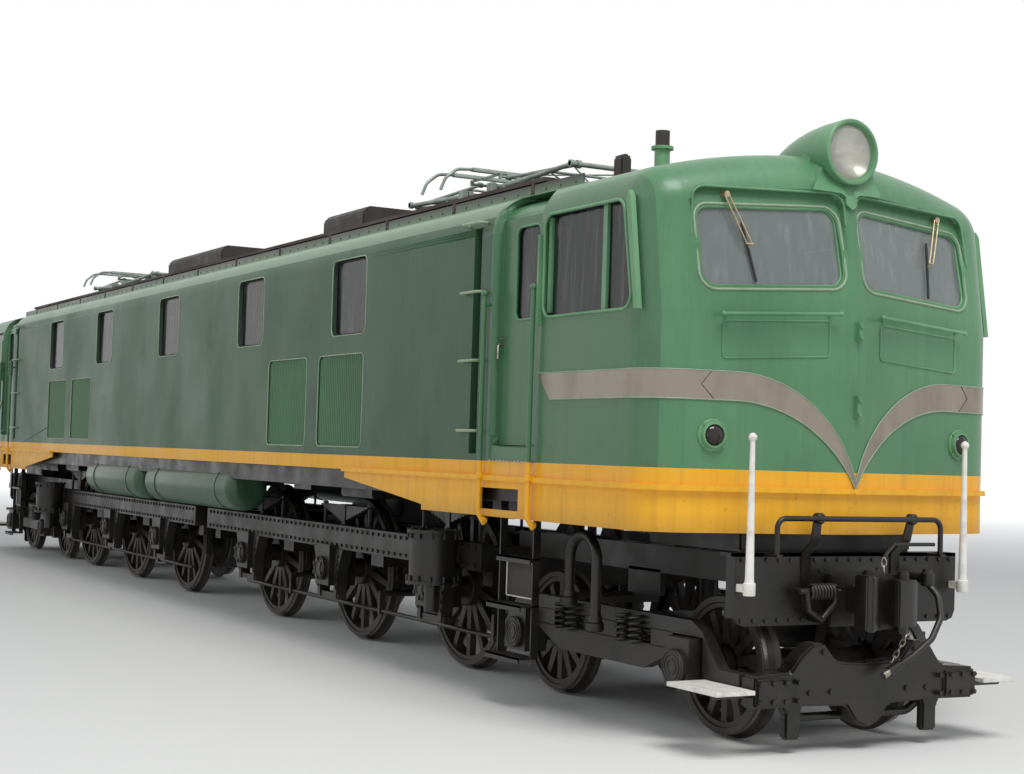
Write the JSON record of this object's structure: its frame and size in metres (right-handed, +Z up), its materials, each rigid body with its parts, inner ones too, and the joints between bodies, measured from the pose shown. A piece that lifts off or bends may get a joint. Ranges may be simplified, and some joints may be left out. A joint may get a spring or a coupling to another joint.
{
  "type": "electric locomotive",
  "caption": "Box-bodied electric locomotive with vee-nosed cabs at both ends, swivelling trucks, roof pantographs and rod-free driving axles.",
  "frame": {"origin": "on the floor under the middle of the locomotive, at the bottom of the wheel flanges", "axes": "+X forward to the front cab, +Y to the left side, +Z up"},
  "size_m": [19.9, 2.86, 4.0673],
  "materials": {
    "black_paint": "black running gear paint",
    "cab_green": "satin paint",
    "glass": "dusty",
    "green_enamel": "gloss enamel",
    "grey_steel": "weathered",
    "wheel_steel": "oily",
    "white_paint": "gloss enamel",
    "yellow_enamel": "gloss enamel, weathered"
  },
  "bodies": {
    "body": {"bulkheads": "cab_green", "front_cab": "green_enamel", "front_skirt": "yellow_enamel", "headlights": "green_enamel", "machinery_block": "grey_steel", "pantograph_bases": "grey_steel", "rear_cab": "green_enamel", "rear_skirt": "yellow_enamel", "roof": "green_enamel", "roof_insulators": "green_enamel", "roof_monitors": "green_enamel", "roof_walkways": "green_enamel", "side_left": "green_enamel", "side_right": "green_enamel", "underframe": "black_paint", "window_glass": "glass"},
    "front_truck": {"front_coupler": "black_paint", "front_end_beam": "black_paint", "front_poles": "white_paint", "front_truck_frame": "black_paint"},
    "front_leading_truck": {"front_leading_frame": "black_paint", "front_pilot": "black_paint"},
    "front_wheelset_1": {"front_wheelset_1": "wheel_steel"},
    "front_wheelset_2": {"front_wheelset_2": "wheel_steel"},
    "front_wheelset_3": {"front_wheelset_3": "wheel_steel"},
    "front_wheelset_4": {"front_wheelset_4": "wheel_steel"},
    "front_wheelset_5": {"front_wheelset_5": "wheel_steel"},
    "front_door_left": {"front_door_left": "green_enamel"},
    "front_door_right": {"front_door_right": "green_enamel"},
    "front_lower_arm_outer": {"front_lower_arm_outer": "grey_steel"},
    "front_lower_arm_inner": {"front_lower_arm_inner": "grey_steel"},
    "front_upper_arm_outer": {"front_upper_arm_outer": "grey_steel"},
    "front_upper_arm_inner": {"front_upper_arm_inner": "grey_steel"},
    "front_collector": {"front_collector": "grey_steel"},
    "rear_truck": {"rear_coupler": "black_paint", "rear_end_beam": "black_paint", "rear_poles": "white_paint", "rear_truck_frame": "black_paint"},
    "rear_leading_truck": {"rear_leading_frame": "black_paint", "rear_pilot": "black_paint"},
    "rear_wheelset_1": {"rear_wheelset_1": "wheel_steel"},
    "rear_wheelset_2": {"rear_wheelset_2": "wheel_steel"},
    "rear_wheelset_3": {"rear_wheelset_3": "wheel_steel"},
    "rear_wheelset_4": {"rear_wheelset_4": "wheel_steel"},
    "rear_wheelset_5": {"rear_wheelset_5": "wheel_steel"},
    "rear_door_left": {"rear_door_left": "green_enamel"},
    "rear_door_right": {"rear_door_right": "green_enamel"},
    "rear_lower_arm_outer": {"rear_lower_arm_outer": "grey_steel"},
    "rear_lower_arm_inner": {"rear_lower_arm_inner": "grey_steel"},
    "rear_upper_arm_outer": {"rear_upper_arm_outer": "grey_steel"},
    "rear_upper_arm_inner": {"rear_upper_arm_inner": "grey_steel"},
    "rear_collector": {"rear_collector": "grey_steel"}
  },
  "joints": [
    {"name": "front_truck_swing", "type": "hinge", "parent": "body", "child": "front_truck", "pos_m": [3.525, 0, 1], "axis": [0, 0, 1], "range_deg": [-2, 2]},
    {"name": "front_leading_swing", "type": "hinge", "parent": "front_truck", "child": "front_leading_truck", "pos_m": [8.03, 0, 0.6], "axis": [0, 0, 1], "range_deg": [-3, 3]},
    {"name": "front_wheelset_1_roll", "type": "hinge", "parent": "front_leading_truck", "child": "front_wheelset_1", "pos_m": [9.03, 0, 0.457], "axis": [0, 1, 0], "continuous": true},
    {"name": "front_wheelset_2_roll", "type": "hinge", "parent": "front_leading_truck", "child": "front_wheelset_2", "pos_m": [7.03, 0, 0.457], "axis": [0, 1, 0], "continuous": true},
    {"name": "front_wheelset_3_roll", "type": "hinge", "parent": "front_truck", "child": "front_wheelset_3", "pos_m": [5.6, 0, 0.652], "axis": [0, 1, 0], "continuous": true},
    {"name": "front_wheelset_4_roll", "type": "hinge", "parent": "front_truck", "child": "front_wheelset_4", "pos_m": [3.525, 0, 0.652], "axis": [0, 1, 0], "continuous": true},
    {"name": "front_wheelset_5_roll", "type": "hinge", "parent": "front_truck", "child": "front_wheelset_5", "pos_m": [1.45, 0, 0.652], "axis": [0, 1, 0], "continuous": true},
    {"name": "front_door_left_hinge", "type": "hinge", "parent": "body", "child": "front_door_left", "pos_m": [7.965, 1.303, 2.5], "axis": [0, 0, 1], "range_deg": [0, 90]},
    {"name": "front_door_right_hinge", "type": "hinge", "parent": "body", "child": "front_door_right", "pos_m": [7.965, -1.303, 2.5], "axis": [0, 0, -1], "range_deg": [0, 90]},
    {"name": "front_pantograph_raise", "type": "hinge", "parent": "body", "child": "front_lower_arm_outer", "pos_m": [5.55, 0, 3.907], "axis": [0, -1, 0], "range_deg": [0, 55]},
    {"name": "front_inner_arm_raise", "type": "hinge", "parent": "body", "child": "front_lower_arm_inner", "pos_m": [5.05, 0, 3.907], "axis": [0, 1, 0], "range_deg": [0, 55]},
    {"name": "front_outer_knee", "type": "hinge", "parent": "front_lower_arm_outer", "child": "front_upper_arm_outer", "pos_m": [6.6989, 0, 3.95716], "axis": [0, 1, 0], "range_deg": [0, 110]},
    {"name": "front_inner_knee", "type": "hinge", "parent": "front_lower_arm_inner", "child": "front_upper_arm_inner", "pos_m": [3.9011, 0, 3.95716], "axis": [0, -1, 0], "range_deg": [0, 110]},
    {"name": "front_collector_level", "type": "hinge", "parent": "front_upper_arm_outer", "child": "front_collector", "pos_m": [5.55, 0, 4.00732], "axis": [0, -1, 0], "range_deg": [0, 55]},
    {"name": "rear_truck_swing", "type": "hinge", "parent": "body", "child": "rear_truck", "pos_m": [-3.525, 0, 1], "axis": [0, 0, 1], "range_deg": [-2, 2]},
    {"name": "rear_leading_swing", "type": "hinge", "parent": "rear_truck", "child": "rear_leading_truck", "pos_m": [-8.03, 0, 0.6], "axis": [0, 0, 1], "range_deg": [-3, 3]},
    {"name": "rear_wheelset_1_roll", "type": "hinge", "parent": "rear_leading_truck", "child": "rear_wheelset_1", "pos_m": [-9.03, 0, 0.457], "axis": [0, 1, 0], "continuous": true},
    {"name": "rear_wheelset_2_roll", "type": "hinge", "parent": "rear_leading_truck", "child": "rear_wheelset_2", "pos_m": [-7.03, 0, 0.457], "axis": [0, 1, 0], "continuous": true},
    {"name": "rear_wheelset_3_roll", "type": "hinge", "parent": "rear_truck", "child": "rear_wheelset_3", "pos_m": [-5.6, 0, 0.652], "axis": [0, 1, 0], "continuous": true},
    {"name": "rear_wheelset_4_roll", "type": "hinge", "parent": "rear_truck", "child": "rear_wheelset_4", "pos_m": [-3.525, 0, 0.652], "axis": [0, 1, 0], "continuous": true},
    {"name": "rear_wheelset_5_roll", "type": "hinge", "parent": "rear_truck", "child": "rear_wheelset_5", "pos_m": [-1.45, 0, 0.652], "axis": [0, 1, 0], "continuous": true},
    {"name": "rear_door_left_hinge", "type": "hinge", "parent": "body", "child": "rear_door_left", "pos_m": [-7.965, 1.303, 2.5], "axis": [0, 0, -1], "range_deg": [0, 90]},
    {"name": "rear_door_right_hinge", "type": "hinge", "parent": "body", "child": "rear_door_right", "pos_m": [-7.965, -1.303, 2.5], "axis": [0, 0, 1], "range_deg": [0, 90]},
    {"name": "rear_pantograph_raise", "type": "hinge", "parent": "body", "child": "rear_lower_arm_outer", "pos_m": [-5.55, 0, 3.907], "axis": [0, 1, 0], "range_deg": [0, 55]},
    {"name": "rear_inner_arm_raise", "type": "hinge", "parent": "body", "child": "rear_lower_arm_inner", "pos_m": [-5.05, 0, 3.907], "axis": [0, -1, 0], "range_deg": [0, 55]},
    {"name": "rear_outer_knee", "type": "hinge", "parent": "rear_lower_arm_outer", "child": "rear_upper_arm_outer", "pos_m": [-6.6989, 0, 3.95716], "axis": [0, -1, 0], "range_deg": [0, 110]},
    {"name": "rear_inner_knee", "type": "hinge", "parent": "rear_lower_arm_inner", "child": "rear_upper_arm_inner", "pos_m": [-3.9011, 0, 3.95716], "axis": [0, 1, 0], "range_deg": [0, 110]},
    {"name": "rear_collector_level", "type": "hinge", "parent": "rear_upper_arm_outer", "child": "rear_collector", "pos_m": [-5.55, 0, 4.00732], "axis": [0, 1, 0], "range_deg": [0, 55]}
  ],
  "couplings": [
    {"joint": "front_inner_arm_raise", "follows": "front_pantograph_raise", "ratio": 1},
    {"joint": "front_outer_knee", "follows": "front_pantograph_raise", "ratio": 2},
    {"joint": "front_inner_knee", "follows": "front_pantograph_raise", "ratio": 2},
    {"joint": "front_collector_level", "follows": "front_pantograph_raise", "ratio": 1},
    {"joint": "rear_inner_arm_raise", "follows": "rear_pantograph_raise", "ratio": 1},
    {"joint": "rear_outer_knee", "follows": "rear_pantograph_raise", "ratio": 2},
    {"joint": "rear_inner_knee", "follows": "rear_pantograph_raise", "ratio": 2},
    {"joint": "rear_collector_level", "follows": "rear_pantograph_raise", "ratio": 1},
    {"joint": "rear_truck_swing", "follows": "front_truck_swing", "ratio": -1}
  ]
}
